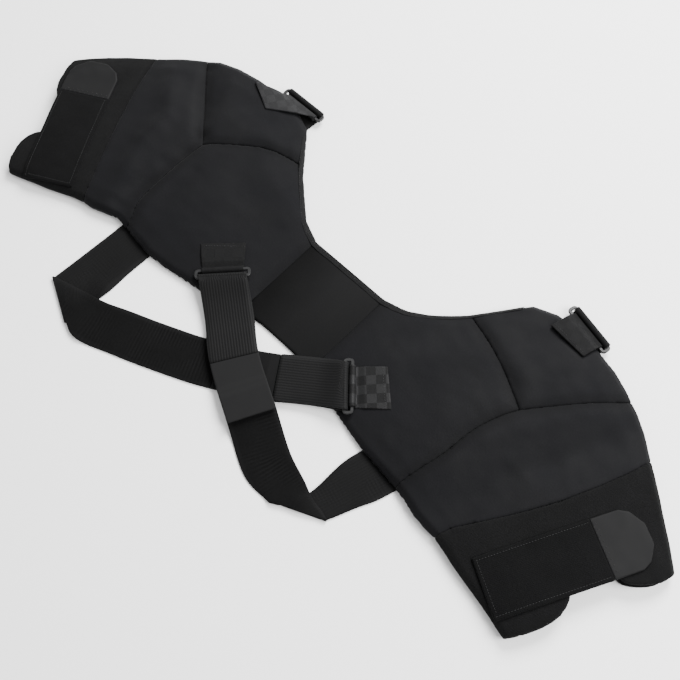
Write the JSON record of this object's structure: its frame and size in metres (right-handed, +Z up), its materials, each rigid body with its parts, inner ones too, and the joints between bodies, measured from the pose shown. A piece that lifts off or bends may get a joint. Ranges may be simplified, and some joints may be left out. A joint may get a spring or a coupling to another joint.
{
  "type": "double shoulder brace",
  "caption": "Padded shoulder brace for both shoulders, lying flat: short sleeves with wrap straps, a bridge behind the neck and crossing elastic straps on rings.",
  "frame": {"origin": "middle of the neck bridge's flat underside, on the surface that the brace lies on", "axes": "+X along the brace towards the wearer's right sleeve, +Y towards the neckline, +Z up out of the outer face"},
  "size_m": [0.8924, 0.3985, 0.0196],
  "materials": {
    "padded_fabric": "matte",
    "bridge_fabric": "matte",
    "loop_pile": "matte",
    "hook_tape": "satin",
    "elastic": "matte",
    "webbing": "satin",
    "ring_plastic": "gloss"
  },
  "bodies": {
    "root": {"neck_bridge": "bridge_fabric", "right_back_panel": "padded_fabric", "right_front_panel": "padded_fabric", "right_sleeve": "padded_fabric", "right_cuff": "loop_pile", "right_back_ring": "ring_plastic", "right_back_tab": "webbing", "right_front_ring": "ring_plastic", "right_front_tab": "webbing", "right_cross_strap": "elastic", "right_cross_tab": "hook_tape", "right_arm_strap": "loop_pile", "right_arm_tab": "hook_tape", "left_back_panel": "padded_fabric", "left_front_panel": "padded_fabric", "left_sleeve": "padded_fabric", "left_cuff": "loop_pile", "left_back_ring": "ring_plastic", "left_back_tab": "webbing", "left_front_ring": "ring_plastic", "left_front_tab": "webbing", "left_cross_strap": "elastic", "left_cross_tab": "hook_tape", "left_arm_strap": "loop_pile", "left_arm_tab": "hook_tape", "neckline_binding": "webbing"}
  },
  "joints": []
}
